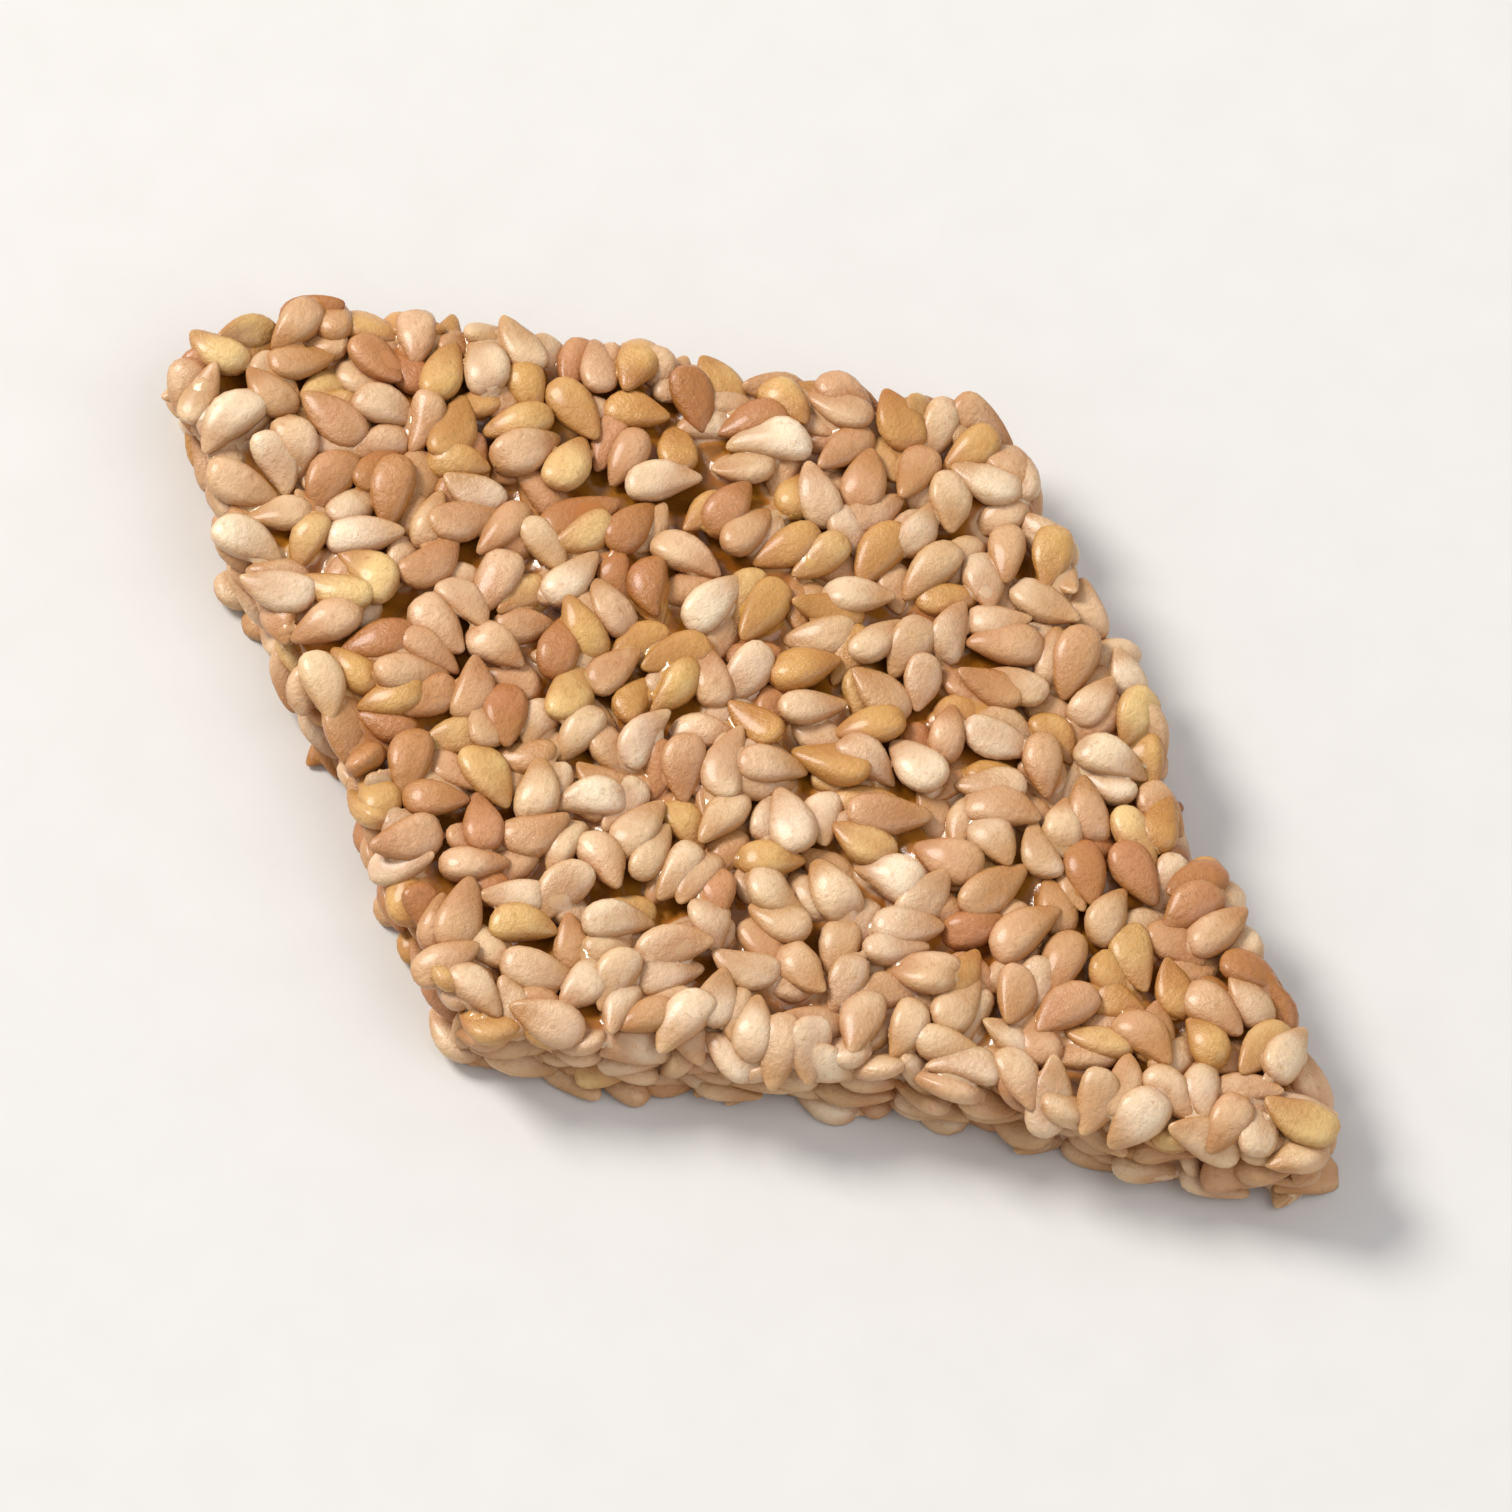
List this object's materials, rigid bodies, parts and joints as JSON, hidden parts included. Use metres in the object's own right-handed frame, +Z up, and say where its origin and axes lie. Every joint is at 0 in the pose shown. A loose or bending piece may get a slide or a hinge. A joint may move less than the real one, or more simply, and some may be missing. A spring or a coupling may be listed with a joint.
{
  "type": "sesame brittle slab",
  "caption": "Flat diamond-cut piece of sesame brittle, its seeds standing out of set caramel on the face and the cut sides; one sharp corner is snapped off.",
  "frame": {"origin": "under the middle of the bounding box, on the surface that the slab lies on", "axes": "+X along the long diagonal towards the whole sharp corner, +Y towards the rounder blunt corner, +Z up through the thickness"},
  "size_m": [0.062, 0.0374, 0.0048],
  "materials": {
    "sesame_brittle": "toasted sesame seeds under a thin glaze of set caramel, pale tan to golden, with dark amber in the gaps"
  },
  "bodies": {
    "root": {"sesame_slab": "sesame_brittle"}
  },
  "joints": []
}
